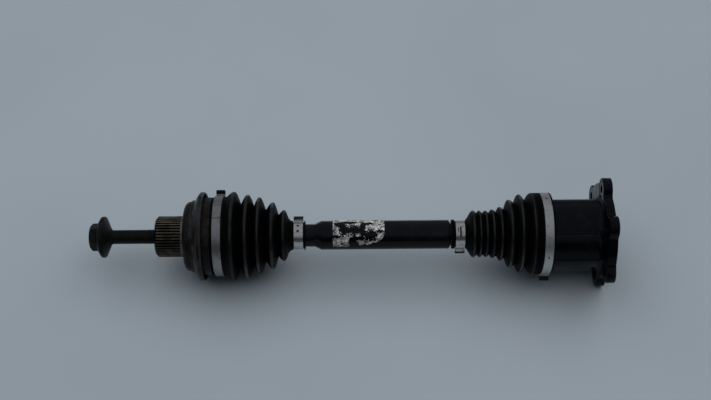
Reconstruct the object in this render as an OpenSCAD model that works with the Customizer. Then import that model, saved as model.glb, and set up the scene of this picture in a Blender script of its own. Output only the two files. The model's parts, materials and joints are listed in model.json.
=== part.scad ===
// Axle shaft of a car: a bar with a fixed ball joint and a splined stub at one end,
// and a sliding tripod joint with a bolted flange at the other.
// X runs along the axle, +Z is up, and the origin is the centre of the flange's outer face.

/* [Layout] */
// Distance between the centres of the two joints
joint_span = 350; // [320:1:600]
// Flange face to the centre of the tripod joint
tripod_x = 42; // [41:0.5:46]
// Gap between neighbouring spheres and faces that move on each other
run_gap = 0.3; // [0.2:0.05:0.4]
// Gap between a piece and the seat that it is pressed or clamped on
seat_gap = 0.05; // [0.02:0.01:0.1]

/* [Bar] */
// Radius of the painted middle of the bar
bar_r = 14.4; // [13:0.1:18]
// Radius of the bar's necks under the boots
neck_r = 11.3; // [10.8:0.1:11.6]
// Radius of the bar's ends in the race and the spider
stub_r = 11; // [9.5:0.1:11.2]
// Bare neck between the outer boot and the taper into the middle
neck_show = 9.3; // [5:0.1:20]
// Length of that taper
taper_len = 6.5; // [4:0.5:12]
// Bare neck between the painted middle and the inner boot
collar_room = 1.8; // [1:0.1:4]
// Edge rounding at the end of the painted middle
middle_round = 2; // [1:0.25:2.5]
// How far each end of the bar stands out past its circlip
bar_tail = 1.6; // [1:0.1:2.5]
// Thickness of the circlips on the bar
circlip_t = 1.5; // [1:0.1:2]
// Height of the circlips above the bar's end
circlip_h = 1.4; // [0.8:0.1:1.8]
// Opening of the circlips
circlip_gap = 5; // [3:0.5:8]

/* [Ball joint] */
// Number of balls
ball_count = 6; // [6]
// Radius of a ball
ball_r = 7.54; // [7:0.02:7.8]
// Radius of the circle that the balls' centres lie on
ball_circle_r = 25.5; // [25:0.1:26]
// Room between a ball and its two grooves
groove_gap = 1.35; // [1.3:0.05:1.5]
// How far the race's sphere lies inside the balls' circle
race_inset = 4.4; // [4:0.1:5]
// Half the width of the race
race_half = 11; // [10:0.25:11.5]
// Wall of the cage
cage_t = 5.7; // [4.5:0.1:6]
// Half the width of the cage
cage_half = 11.7; // [11:0.1:12.5]
// Room between a ball and the ends of its window
window_room = 0.9; // [0.6:0.05:1.2]

/* [Bell] */
// Outer radius of the bell
bell_r = 38.8; // [38.4:0.1:42]
// Radius of the boot's seat on the bell
bell_seat_r = 37.2; // [36.5:0.1:38]
// Length of the boot's seat
bell_seat_len = 15.5; // [14.5:0.25:17]
// Joint centre to the bell's mouth
mouth_x = 15; // [13.5:0.25:15.5]
// Depth of the bell behind the joint centre
bell_depth = 22.5; // [21.5:0.25:24]
// Joint centre to the bell's outer back shoulder
shoulder_x = 28.5; // [28:0.25:34]
// Radius of the dust ring's seat
ring_seat_r = 34.8; // [33.5:0.1:35.5]
// Joint centre to the step between the ring's seat and the bell's full radius
ring_step_x = 17.4; // [16.5:0.1:18]
// Rounding of the bell's back shoulder
shoulder_round = 5.5; // [4:0.25:7]
// Slope of the bell's flared mouth, in degrees from the joint's centre
mouth_angle = 20; // [18:1:22]

/* [Dust ring] */
// Thickness of the ring's sheet
ring_t = 1.2; // [0.8:0.1:1.6]
// Outer radius of the ring's rim
ring_rim_r = 44.2; // [43:0.1:48]
// Width of the ring's rim
ring_rim_w = 4.6; // [3:0.1:6]
// Width of the ring's sleeve
ring_sleeve_w = 3.2; // [2:0.1:4]
// Length of the flare between sleeve and rim
ring_flare_w = 4.2; // [3.5:0.1:5]

/* [Hub end] */
// Number of teeth on the hub spline
spline_teeth = 42; // [30:1:48]
// Radius over the teeth
spline_r = 20.4; // [19:0.1:22]
// Depth of the teeth
spline_depth = 1.15; // [0.8:0.05:1.4]
// Length of the splined stub
spline_len = 29; // [22:0.5:60]
// Chamfer at the end of the stub
spline_chamfer = 2.2; // [1:0.1:3]
// Width of the plain collar between the teeth and the bell
stub_collar_w = 3.5; // [2:0.25:5]
// Height of that collar above the teeth
stub_collar_h = 0.3; // [0.1:0.1:1]
// Radius of the hub bolt's shank
bolt_r = 7; // [6:0.1:8]
// Length of the shank that stands out of the stub
bolt_out = 46; // [5:1:60]
// Length of the shank inside the stub
bolt_in = 25; // [15:0.5:27]
// Countersink of the tapped hole in the stub
stub_sink = 1.5; // [0.5:0.1:2]
// Hexagon of the bolt's head, across the flats
bolt_hex = 24; // [20:0.5:27]
// Height of the hexagon
bolt_hex_h = 6; // [5:0.5:14]
// Radius of the dish in the end of the hexagon
bolt_dish_r = 7.5; // [5:0.1:9]
// Depth of that dish
bolt_dish = 1.2; // [0.5:0.1:2]
// Radius of the bolt's flange
bolt_flange_r = 20.5; // [18:0.1:24]
// Thickness of the flange's rim
bolt_rim_t = 4; // [2:0.1:6]
// Height of the cone on each side of the flange's rim
bolt_cone_h = 5; // [2:0.1:6]

/* [Tripod joint] */
// Radius of the circle that the rollers' centres lie on
roller_circle_r = 21.5; // [21:0.1:21.8]
// Radius of a roller
roller_r = 14; // [13.4:0.1:14.2]
// Width of a roller
roller_w = 10.5; // [9:0.25:10.5]
// Room between a roller and its track
track_gap = 1.2; // [1.1:0.05:1.4]
// Radius of a trunnion
trunnion_r = 7; // [6.5:0.05:7.2]
// Radius of a needle
needle_r = 1.15; // [1:0.05:1.2]
// Needles under each roller
needle_count = 18; // [14:1:20]
// Room round a needle
needle_gap = 0.15; // [0.1:0.01:0.2]
// Radius of the spider's hub
hub_r = 15.5; // [14.5:0.1:15.7]
// Half the width of the spider's hub
hub_half = 9; // [8:0.25:9.5]
// Thickness of the clips on the trunnions
clip_t = 1.1; // [0.8:0.1:1.2]
// Height of those clips above the trunnion
clip_h = 1.7; // [1:0.1:2]
// Depth of the clips' grooves
clip_groove = 0.7; // [0.4:0.1:1]

/* [Tripod housing] */
// Radius over the three lobes
lobe_r = 35.5; // [35:0.1:37]
// Angle of the valley between two lobes
valley_angle = 50; // [46:1:54]
// Depth of the valley below the flat across its edges
valley_depth = 5.5; // [2:0.1:6.5]
// Radius of the hollow's lobes
hollow_r = 31.5; // [31:0.1:31.8]
// Radius of the lands between the tracks
land_r = 19; // [18.6:0.1:19.5]
// Joint centre to the mouth of the housing
housing_mouth = 36; // [34:0.5:38]
// Radius of the flared mouth inside
mouth_flare_r = 32; // [31.5:0.1:33.5]
// Joint centre to the start of the flared mouth
flare_start = 4; // [3:0.25:5]
// Radius of the boot's seat on the housing
housing_seat_r = 38.2; // [37.5:0.1:39]
// Length of that seat
housing_seat_len = 18; // [17:0.5:21]
// Rounding between the lobes and the flange
lobe_fillet = 6; // [4:0.25:8]

/* [Flange] */
// Thickness of the flange
flange_t = 9.2; // [7:0.1:12]
// Diameter of the circle of bolt holes
hole_circle_d = 94; // [90:0.5:100]
// Diameter of a bolt hole
hole_d = 8.5; // [6:0.1:10.5]
// Angle between the two holes beside a valley
pair_angle = 60; // [57:1:63]
// Diameter of the flat cut round a hole for the bolt's head
spot_d = 17; // [14:0.5:18]
// Radius of the ear round each hole
ear_r = 11; // [9.5:0.1:12]
// Radius of the flange's rim at a lobe
waist_r = 44.5; // [43:0.1:46]
// Radius of the flange's rim at a valley
saddle_r = 50; // [48:0.1:51]
// Rounding between ears and the rest of the outline
ear_fillet = 6; // [4:0.25:6.5]
// Radius of the grease cap
cap_r = 33; // [32.2:0.1:34]
// Depth of the grease cap's seat
cap_seat = 5; // [4:0.1:5.5]
// Sheet of the grease cap
cap_t = 1.2; // [0.8:0.1:1.5]
// How far the middle of the cap is dished outwards
cap_dish = 1.8; // [1:0.1:2.2]
// Radius of the dished middle
cap_dish_r = 24; // [18:0.5:28]
// How far the cap's turned-up rim stays below the flange's face
cap_inset = 0.8; // [0.5:0.1:1.5]

/* [Boots] */
// Wall of the boots
boot_wall = 2; // [1.6:0.1:2.4]
// Radius of the boots' small collars
small_collar_r = 14.8; // [14.5:0.1:15.5]
// Depth of the clamp's groove in a small collar
small_groove = 1.8; // [1:0.1:2]
// Depth of the clamp's groove in the inner boot's large collar
large_groove = 0.7; // [0.3:0.1:0.9]

/* [Clamps] */
// Sheet of the clamps
clamp_t = 0.9; // [0.6:0.05:1.1]
// Width of the outer large clamp
outer_large_w = 9.6; // [8:0.1:10.5]
// Width of the inner large clamp
inner_large_w = 9.6; // [8:0.1:11]
// Width of the two small clamps
small_w = 10.5; // [8:0.1:11]
// Height of the large clamps' ears
large_ear_h = 5.6; // [4:0.1:7]
// Height of the small clamps' ears
small_ear_h = 4.6; // [3:0.1:5.5]
// Width of an ear along the band
ear_len = 9; // [7:0.25:11]
// Angle that a band's end laps over itself
lap_angle = 70; // [40:5:120]
// The same for the inner large clamp, whose end is longer
long_lap_angle = 130; // [60:5:150]
// Share of the band's width that the lapped end has
lap_share = 0.84; // [0.7:0.02:0.9]

/* [Hidden] */
$fn = 96;
slack = 0.01;
edge = 0.6;
// How far a cutter reaches past the face that it opens
cut = 1;
// Half a spline tooth's width at its foot and at its top, as shares of the pitch
tooth_foot = 0.34;
tooth_top = 0.14;
ball_x = -tripod_x - joint_span;
hub_x = -tripod_x;

// Ball joint: spheres about its centre
race_r = ball_circle_r - race_inset;
cage_in_r = race_r + run_gap;
cage_out_r = cage_in_r + cage_t;
bell_in_r = cage_out_r + run_gap;
groove_r = ball_r + groove_gap;
groove_runout = 3;
groove_end_x = bell_depth - groove_runout;
mouth_cone_r = bell_in_r * cos(mouth_angle);
mouth_cone_x = bell_in_r * sin(mouth_angle);
window_half_w = ball_r + run_gap;
window_half_l = ball_r + window_room;
stub_hole_r = bolt_r + seat_gap;
stub_end_x = ball_x - shoulder_x - spline_len;

// Boots: large collars from their start to their end, measured from the joints' centres
shoulder_room = 0.5;
mouth_show = 2.6;
seat_overhang = 2.3;
mouth_overhang = 0.8;
bell_collar_r = bell_seat_r + seat_gap + boot_wall;
bell_collar = [mouth_x - bell_seat_len + shoulder_room, mouth_x - mouth_show];
housing_collar_r = housing_seat_r + seat_gap + boot_wall + large_groove / 2;
housing_collar = [housing_mouth - housing_seat_len - seat_overhang, housing_mouth + mouth_overhang];

// Boots: crests and valleys as [distance from the joint's centre,
// share of the way from the small collar's radius to the large collar's]
outer_folds = [
    [20, 1.21], [26.5, 0.68], [33.4, 1.09], [39.6, 0.62], [45, 0.98],
    [51.4, 0.46], [58.6, 0.77], [64, 0.25], [69.6, 0.44], [74.3, 0.09]
];
inner_folds = [
    [40.8, 0.71], [46.5, 0.95], [51.2, 0.61], [56.5, 0.74], [61.4, 0.36],
    [65.3, 0.47], [69.2, 0.28], [73, 0.37], [76.4, 0.24], [79.6, 0.33],
    [82.7, 0.22], [85.9, 0.33], [88.6, 0.23], [92, 0.34], [98.4, 0.03]
];
fold_steps = 5;

// Clamps: start of each band, measured from its joint's centre, and the angle of its ear
outer_bead = 1;
inner_bead = 1.3;
outer_large_x = bell_collar[0] + outer_bead;
outer_small_x = 78.8;
inner_large_x = housing_collar[0] + inner_bead;
inner_small_x = 100;
outer_large_ear = 60;
outer_small_ear = 45;
inner_small_ear = -133;
inner_large_ear = -125;

// Small collars: length before and after the band, and room beside it in its groove
outer_run = 2.4;
inner_run = 1;
outer_lip = 1.4;
inner_lip = 3.2;
band_room = 0.4;

// Bar: distances from the joints' centres
taper_start = outer_small_x + small_w + outer_lip + neck_show;
middle_end = inner_small_x + small_w + inner_lip + collar_room;

// Tripod joint: distances along a trunnion
roller_bore_r = trunnion_r + 2 * needle_gap + 2 * needle_r + needle_gap;
clip_z = roller_circle_r + roller_w / 2 + run_gap;
trunnion_tail = 0.5;
trunnion_end = clip_z + clip_t + trunnion_tail;
track_r = roller_r + track_gap;

ROLLERS = [0, 120, 240];
VALLEYS = [60, 180, 300];

// A profile of [x, radius] points turned about the axle
module turned(profile) {
    rotate([90, 0, 90]) rotate_extrude() polygon([for (p = profile) [p[1], p[0]]]);
}

// A round bar along the axle from x0 to x1
module round_bar(x0, x1, r) {
    translate([x0, 0, 0]) rotate([0, 90, 0]) cylinder(h = x1 - x0, r = r);
}

// An outline of [y, z] points drawn out along the axle
module drawn(x0, x1, outline) {
    translate([x0, 0, 0]) rotate([90, 0, 90]) linear_extrude(x1 - x0) polygon(outline);
}

// Turns its children about the axle, from +Z towards +Y
module at_angle(a) {
    rotate([-a, 0, 0]) children();
}

function polar(r, a) = [r * sin(a), r * cos(a)];

// Points of a smooth wave through a list of turning points
function wave(folds, steps) = [
    for (i = [0:len(folds) - 2], k = [0:steps - 1])
        let (t = k / steps, a = folds[i], b = folds[i + 1])
        [a[0] + (b[0] - a[0]) * t, a[1] + (b[1] - a[1]) * (1 - cos(180 * t)) / 2],
    folds[len(folds) - 1]
];

// Outline of a strip of sheet, from the points of its middle line
function across(a, b) = let (v = (b - a) / norm(b - a)) [-v[1], v[0]];
function miter(path, i) =
    let (
        last = len(path) - 1,
        before = across(path[max(i, 1) - 1], path[max(i, 1)]),
        after = across(path[min(i, last - 1)], path[min(i, last - 1) + 1]),
        middle = (before + after) / norm(before + after)
    ) middle / (middle * before);
function sheet(path, thickness) = concat(
    [for (i = [0:len(path) - 1]) path[i] + miter(path, i) * thickness / 2],
    [for (i = [len(path) - 1:-1:0]) path[i] - miter(path, i) * thickness / 2]
);

function backwards(list) = [for (i = [len(list) - 1:-1:0]) list[i]];
function placed(list, x, side) = [for (p = list) [x + side * p[0], p[1]]];
function thinned(list, wall) = [for (p = list) [p[0], p[1] - wall]];

// Ball joint

module axle_bolt() color("#26282a") {
    head_x = stub_end_x - bolt_out;
    rim_x = head_x - bolt_cone_h;
    back_x = rim_x - bolt_rim_t;
    hex_x = back_x - bolt_cone_h;
    end_x = hex_x - bolt_hex_h;
    tip_x = stub_end_x + bolt_in;
    hex_r = bolt_hex / sqrt(3);
    neck = bolt_hex / 2;
    hex_chamfer = 2;
    head_fillet = 1.8;
    tip_chamfer = 1.5;
    intersection() {
        translate([end_x, 0, 0]) rotate([0, 90, 0])
            cylinder(h = bolt_hex_h + bolt_cone_h, r = hex_r, $fn = 6);
        turned([
            [end_x + bolt_dish, 0], [end_x + bolt_dish, bolt_dish_r - bolt_dish], [end_x, bolt_dish_r],
            [end_x, neck - edge], [end_x + hex_chamfer, hex_r + slack],
            [back_x, hex_r + slack], [back_x, 0]
        ]);
    }
    turned([
        [hex_x, 0], [hex_x, neck], [back_x, bolt_flange_r - edge], [back_x + edge, bolt_flange_r],
        [rim_x - edge, bolt_flange_r], [rim_x, bolt_flange_r - edge], [head_x, bolt_r + head_fillet],
        [head_x + head_fillet, bolt_r], [tip_x - tip_chamfer, bolt_r],
        [tip_x, bolt_r - tip_chamfer], [tip_x, 0]
    ]);
}

module hub_spline() {
    end_x = ball_x - shoulder_x;
    root_r = spline_r - spline_depth;
    tooth = [[-tooth_foot, root_r], [-tooth_top, spline_r], [tooth_top, spline_r], [tooth_foot, root_r]];
    intersection() {
        drawn(stub_end_x, end_x, [
            for (i = [0:spline_teeth - 1], p = tooth) polar(p[1], (i + p[0]) * 360 / spline_teeth)
        ]);
        turned([
            [stub_end_x, 0], [stub_end_x, spline_r - spline_chamfer],
            [stub_end_x + spline_chamfer, spline_r + slack], [end_x, spline_r + slack], [end_x, 0]
        ]);
    }
}

module bell_hollow() {
    intersection() {
        translate([ball_x, 0, 0]) sphere(r = bell_in_r);
        round_bar(ball_x - bell_depth, ball_x + mouth_x, bell_in_r);
    }
    flare = mouth_x + cut - mouth_cone_x;
    turned([
        [ball_x + mouth_cone_x, 0], [ball_x + mouth_cone_x, mouth_cone_r],
        [ball_x + mouth_x + cut, mouth_cone_r + flare], [ball_x + mouth_x + cut, 0]
    ]);
}

// Rings about the joint's centre in which the balls run, two opposite grooves to a ring
module ball_grooves() {
    for (i = [0:ball_count / 2 - 1])
        at_angle(i * 360 / ball_count)
            translate([ball_x, 0, 0]) rotate([90, 0, 0])
                rotate_extrude() translate([ball_circle_r, 0]) circle(r = groove_r);
}

module outer_bell() color("#4a4541") {
    seat_x = ball_x + mouth_x - bell_seat_len;
    back_x = ball_x - shoulder_x;
    step_x = ball_x - ring_step_x;
    face_x = ball_x + mouth_x;
    collar_x = back_x - stub_collar_w;
    collar_r = spline_r + stub_collar_h;
    step_w = 4.4;
    mouth_edge = 1;
    hole_tail = 1.5;
    difference() {
        union() {
            hub_spline();
            turned(concat(
                [
                    [collar_x, 0], [collar_x, collar_r - edge], [collar_x + edge, collar_r],
                    [back_x - edge, collar_r], [back_x, collar_r + edge]
                ],
                [for (a = [0:15:90]) [
                    back_x + shoulder_round * (1 - cos(a)), ring_seat_r - shoulder_round * (1 - sin(a))
                ]],
                [
                    [step_x, ring_seat_r], [step_x + step_w, bell_r - edge], [step_x + step_w + edge, bell_r],
                    [seat_x - edge, bell_r], [seat_x, bell_seat_r], [face_x - mouth_edge, bell_seat_r],
                    [face_x, bell_seat_r - mouth_edge], [face_x, 0]
                ]
            ));
        }
        bell_hollow();
        intersection() {
            ball_grooves();
            round_bar(ball_x - groove_end_x, ball_x + 2 * mouth_x, bell_r);
        }
        round_bar(stub_end_x - cut, stub_end_x + bolt_in + hole_tail, stub_hole_r);
        turned([
            [stub_end_x - cut, 0], [stub_end_x - cut, stub_hole_r + stub_sink + cut],
            [stub_end_x + stub_sink, stub_hole_r], [stub_end_x + stub_sink, 0]
        ]);
    }
}

// Pressed sheet ring: a sleeve on the bell, a flare and a wide rim
module dust_ring() color("#3f3c39") {
    sleeve_r = ring_seat_r + seat_gap + ring_t / 2;
    rim_r = ring_rim_r - ring_t / 2;
    flare_x = ball_x - ring_step_x - ring_t / 2;
    rim_x = flare_x + ring_flare_w;
    end_x = rim_x + ring_rim_w;
    rim_bend = 1.2;
    lip_bend = 0.8;
    turned(sheet([
        [flare_x - ring_sleeve_w, sleeve_r], [flare_x, sleeve_r], [rim_x, rim_r - rim_bend],
        [rim_x + rim_bend, rim_r], [end_x - lip_bend, rim_r], [end_x, rim_r - lip_bend]
    ], ring_t));
}

module inner_race() color("#8b8d8f") difference() {
    intersection() {
        translate([ball_x, 0, 0]) sphere(r = race_r);
        round_bar(ball_x - race_half, ball_x + race_half, race_r);
    }
    ball_grooves();
    round_bar(ball_x - race_r, ball_x + race_r, stub_r + seat_gap);
}

module ball_cage() color("#77797c") difference() {
    intersection() {
        translate([ball_x, 0, 0]) sphere(r = cage_out_r);
        round_bar(ball_x - cage_half, ball_x + cage_half, cage_out_r);
    }
    translate([ball_x, 0, 0]) sphere(r = cage_in_r);
    for (i = [0:ball_count - 1])
        at_angle(i * 360 / ball_count)
            translate([ball_x - window_half_w, -window_half_l, 0])
                cube([2 * window_half_w, 2 * window_half_l, 2 * cage_out_r]);
}

module ball(i) color("#b9bcc0") {
    at_angle((i - 1) * 360 / ball_count) translate([ball_x, 0, ball_circle_r]) sphere(r = ball_r);
}

// Open spring ring in a groove of the bar, from x0
module circlip(x0) difference() {
    turned([
        [x0, stub_r - circlip_h + seat_gap], [x0 + circlip_t, stub_r - circlip_h + seat_gap],
        [x0 + circlip_t, stub_r + circlip_h], [x0, stub_r + circlip_h]
    ]);
    translate([x0 - cut, -circlip_gap / 2, 0]) cube([circlip_t + 2 * cut, circlip_gap, 2 * stub_r]);
}

module race_circlip() color("#5c5f63") circlip(ball_x - race_half - seat_gap - circlip_t);
module spider_circlip() color("#5c5f63") circlip(hub_x + hub_half + seat_gap);

// Bar

module axle_bar() color("#1c1d20") {
    race_end = ball_x - race_half;
    hub_end = hub_x + hub_half;
    clip_w = circlip_t + 2 * seat_gap;
    end_a = race_end - clip_w - bar_tail;
    end_b = hub_end + clip_w + bar_tail;
    groove_bottom = stub_r - circlip_h;
    taper_x = ball_x + taper_start;
    end_x = hub_x - middle_end;
    chamfer = 1;
    neck_step = 0.5;
    turned(concat(
        [
            [end_a, 0], [end_a, stub_r - chamfer], [end_a + chamfer, stub_r],
            [race_end - clip_w, stub_r], [race_end - clip_w, groove_bottom], [race_end, groove_bottom],
            [race_end, stub_r], [ball_x + race_half, stub_r], [ball_x + race_half + neck_step, neck_r],
            [taper_x, neck_r], [taper_x + taper_len, bar_r]
        ],
        [for (a = [0:15:90]) [
            end_x - middle_round + middle_round * sin(a), bar_r - middle_round * (1 - cos(a))
        ]],
        [
            [end_x, neck_r], [hub_x - hub_half - neck_step, neck_r], [hub_x - hub_half, stub_r],
            [hub_end, stub_r], [hub_end, groove_bottom], [hub_end + clip_w, groove_bottom],
            [hub_end + clip_w, stub_r], [end_b - chamfer, stub_r], [end_b, stub_r - chamfer], [end_b, 0]
        ]
    ));
}

// Boots

// Small collar from d0 to its end past the clamp, with a groove for the band
function small_collar(d0, clamp_d, lip) = [
    [d0, small_collar_r], [clamp_d - band_room, small_collar_r],
    [clamp_d - band_room, small_collar_r - small_groove],
    [clamp_d + small_w + band_room, small_collar_r - small_groove],
    [clamp_d + small_w + band_room, small_collar_r],
    [clamp_d + small_w + lip - edge, small_collar_r], [clamp_d + small_w + lip, small_collar_r - edge]
];

// Bellows about the joint at x: large collar, folds and small collar, in distances from the joint
module boot(x, side, large, folds, small, large_bore_r) {
    first = large[0][0];
    last = large[len(large) - 1][0];
    bore_r = neck_r + seat_gap;
    bore_step = 0.2;
    large_r = large[len(large) - 1][1];
    turns = [for (f = folds) [f[0], small_collar_r + f[1] * (large_r - small_collar_r)]];
    rings = wave(concat([large[len(large) - 1]], turns), fold_steps);
    outside = concat(large, rings, small);
    inside = concat(
        [[small[len(small) - 1][0], bore_r], [small[0][0], bore_r]],
        backwards(thinned(rings, boot_wall)), [[last - bore_step, large_bore_r], [first, large_bore_r]]
    );
    turned(placed(concat(outside, inside), x, side));
}

module outer_boot() color("#17181a") {
    large = [[bell_collar[0], bell_collar_r], [bell_collar[1], bell_collar_r]];
    small = small_collar(outer_small_x - outer_run, outer_small_x, outer_lip);
    boot(ball_x, 1, large, outer_folds, small, bell_seat_r + seat_gap);
}

module inner_boot() color("#1b1c1e") {
    band = [inner_large_x - band_room, inner_large_x + inner_large_w + band_room];
    large = [
        [housing_collar[0], housing_collar_r], [band[0], housing_collar_r],
        [band[0], housing_collar_r - large_groove],
        [band[1], housing_collar_r - large_groove], [band[1], housing_collar_r],
        [housing_collar[1], housing_collar_r]
    ];
    small = small_collar(inner_small_x - inner_run, inner_small_x, inner_lip);
    boot(hub_x, -1, large, inner_folds, small, housing_seat_r + seat_gap);
}

// Clamps

// Pinched ear of a clamp, standing on a band of radius r at the top
module clamp_ear(x0, width, r, height) {
    foot = ear_len / 2;
    waist = foot - 1.6;
    crown = waist + 0.5;
    bend = 1.2;
    crown_dip = 0.5;
    sink = r - r * cos(asin(foot / r)) + clamp_t / 2;
    side = [
        [foot, r - sink], [foot, r], [waist, r + bend], [crown, r + height - bend],
        [crown - bend, r + height], [0, r + height - crown_dip]
    ];
    other_side = [for (i = [len(side) - 2:-1:0]) [-side[i][0], side[i][1]]];
    drawn(x0, x0 + width, sheet(concat(side, other_side), clamp_t));
}

// Band of sheet with an ear at the given angle, and an end that laps over the band from there,
// towards smaller angles where the lap is negative
module ear_clamp(x0, width, r, ear_angle, lap, height) {
    outer_r = r + clamp_t;
    lap_w = width * lap_share;
    lap_x = x0 + (width - lap_w) / 2;
    turned([[x0, r], [x0 + width, r], [x0 + width, outer_r], [x0, outer_r]]);
    at_angle(max(ear_angle, ear_angle + lap) - 90) rotate([90, 0, 90]) rotate_extrude(angle = abs(lap))
        translate([outer_r - slack, lap_x]) square([clamp_t, lap_w]);
    at_angle(ear_angle) clamp_ear(lap_x, lap_w, outer_r, height);
}

module outer_large_clamp() color("#8a8b88") {
    r = bell_collar_r + seat_gap;
    ear_clamp(ball_x + outer_large_x, outer_large_w, r, outer_large_ear, -lap_angle, large_ear_h);
}

module outer_small_clamp() color("#c3c4c2") {
    r = small_collar_r - small_groove + seat_gap;
    ear_clamp(ball_x + outer_small_x, small_w, r, outer_small_ear, -lap_angle, small_ear_h);
}

module inner_small_clamp() color("#c3c4c2") {
    r = small_collar_r - small_groove + seat_gap;
    ear_clamp(hub_x - inner_small_x - small_w, small_w, r, inner_small_ear, -lap_angle, small_ear_h);
}

module inner_large_clamp() color("#c3c4c2") {
    r = housing_collar_r - large_groove + seat_gap;
    x0 = hub_x - inner_large_x - inner_large_w;
    ear_clamp(x0, inner_large_w, r, inner_large_ear, long_lap_angle, large_ear_h);
}

// Tripod joint

// Puts its children on the axis of trunnion i, with +Z along the trunnion
module on_trunnion(i) {
    translate([hub_x, 0, 0]) at_angle(ROLLERS[i - 1]) children();
}

module tripod_spider() color("#7d7f82") {
    chamfer = trunnion_tail / 2;
    difference() {
        union() {
            turned([
                [hub_x - hub_half, 0], [hub_x - hub_half, hub_r - edge], [hub_x - hub_half + edge, hub_r],
                [hub_x + hub_half - edge, hub_r], [hub_x + hub_half, hub_r - edge], [hub_x + hub_half, 0]
            ]);
            for (i = [1:3])
                on_trunnion(i) {
                    cylinder(h = trunnion_end - chamfer, r = trunnion_r);
                    translate([0, 0, trunnion_end - chamfer])
                        cylinder(h = chamfer, r1 = trunnion_r, r2 = trunnion_r - chamfer);
                }
        }
        round_bar(hub_x - 2 * hub_half, hub_x + 2 * hub_half, stub_r + seat_gap);
        for (i = [1:3])
            on_trunnion(i) translate([0, 0, clip_z]) difference() {
                cylinder(h = clip_t, r = trunnion_r + cut);
                cylinder(h = clip_t, r = trunnion_r - clip_groove);
            }
    }
}

module roller(i) color("#a3a6a9") {
    on_trunnion(i) translate([0, 0, roller_circle_r]) difference() {
        intersection() {
            sphere(r = roller_r);
            cylinder(h = roller_w, r = roller_r, center = true);
        }
        cylinder(h = 2 * roller_w, r = roller_bore_r, center = true);
    }
}

module needles(i) color("#b4b7ba") {
    needle_circle_r = trunnion_r + needle_gap + needle_r;
    needle_end = 0.5;
    needle_len = roller_w - 2 * needle_end;
    on_trunnion(i) for (k = [0:needle_count - 1])
        rotate([0, 0, k * 360 / needle_count])
            translate([needle_circle_r, 0, roller_circle_r])
                cylinder(h = needle_len, r = needle_r, center = true);
}

module roller_clip(i) color("#5c5f63") {
    on_trunnion(i) translate([0, 0, clip_z + seat_gap]) difference() {
        cylinder(h = clip_t - 2 * seat_gap, r = trunnion_r + clip_h);
        translate([0, 0, -cut]) cylinder(h = clip_t + 2 * cut, r = trunnion_r - clip_groove + seat_gap);
        translate([0, -circlip_gap / 2, -cut]) cube([2 * trunnion_r, circlip_gap, clip_t + 2 * cut]);
    }
}

// Tripod housing

// One ear of the flange, with its roundings towards the waist and the saddle
module flange_ear(a, waist_side) {
    hole_r = hole_circle_d / 2;
    middle = polar(hole_r, a);
    translate([-flange_t, middle[0], middle[1]]) rotate([0, 90, 0]) cylinder(h = flange_t, r = ear_r);
    for (side = [waist_side, -waist_side]) {
        base_r = side == waist_side ? waist_r : saddle_r;
        reach = base_r + ear_fillet;
        span = ear_r + ear_fillet;
        turn = acos((reach * reach + hole_r * hole_r - span * span) / (2 * reach * hole_r));
        corner = polar(reach, a + side * turn);
        difference() {
            drawn(-flange_t, 0, [[0, 0], middle, corner]);
            translate([-flange_t - cut, corner[0], corner[1]]) rotate([0, 90, 0])
                cylinder(h = flange_t + 2 * cut, r = ear_fillet);
        }
    }
}

module flange() {
    round_bar(-flange_t, 0, waist_r);
    for (v = VALLEYS) {
        intersection() {
            round_bar(-flange_t, 0, saddle_r);
            drawn(-flange_t, 0, [
                [0, 0], polar(2 * saddle_r, v - pair_angle / 2), polar(2 * saddle_r, v + pair_angle / 2)
            ]);
        }
        flange_ear(v - pair_angle / 2, -1);
        flange_ear(v + pair_angle / 2, 1);
    }
}

// Rounded foot that carries the lobes out into the flange
module lobe_foot() {
    top_r = lobe_r + lobe_fillet;
    top_x = -flange_t - lobe_fillet;
    turned(concat(
        [[top_x, 0]],
        [for (a = [0:15:90]) [top_x + lobe_fillet * sin(a), top_r - lobe_fillet * cos(a)]],
        [[-flange_t + slack, top_r], [-flange_t + slack, 0]]
    ));
}

module lobes() {
    start_x = hub_x - housing_mouth + housing_seat_len - slack;
    edge_r = lobe_r * cos(valley_angle / 2);
    half = lobe_r * sin(valley_angle / 2);
    valley_r = (half * half + valley_depth * valley_depth) / (2 * valley_depth);
    difference() {
        union() {
            round_bar(start_x, -flange_t + slack, lobe_r);
            lobe_foot();
        }
        for (v = VALLEYS)
            at_angle(v) translate([0, 0, edge_r - valley_depth + valley_r])
                round_bar(start_x - cut, -flange_t, valley_r);
    }
}

module housing_hollow() {
    mouth = hub_x - housing_mouth;
    flare_x = hub_x - flare_start;
    slope = (mouth_flare_r - land_r) / (flare_x - mouth);
    round_bar(mouth - cut, cut, land_r);
    turned([[mouth - cut, 0], [mouth - cut, mouth_flare_r + slope * cut], [flare_x, land_r], [flare_x, 0]]);
    intersection() {
        round_bar(mouth - cut, cut - cap_seat, hollow_r);
        for (a = ROLLERS)
            at_angle(a) translate([mouth - cut, 0, roller_circle_r]) rotate([0, 90, 0])
                cylinder(h = 2 * cut - cap_seat - mouth, r = track_r);
    }
    round_bar(-cap_seat, cut, cap_r + seat_gap);
}

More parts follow.
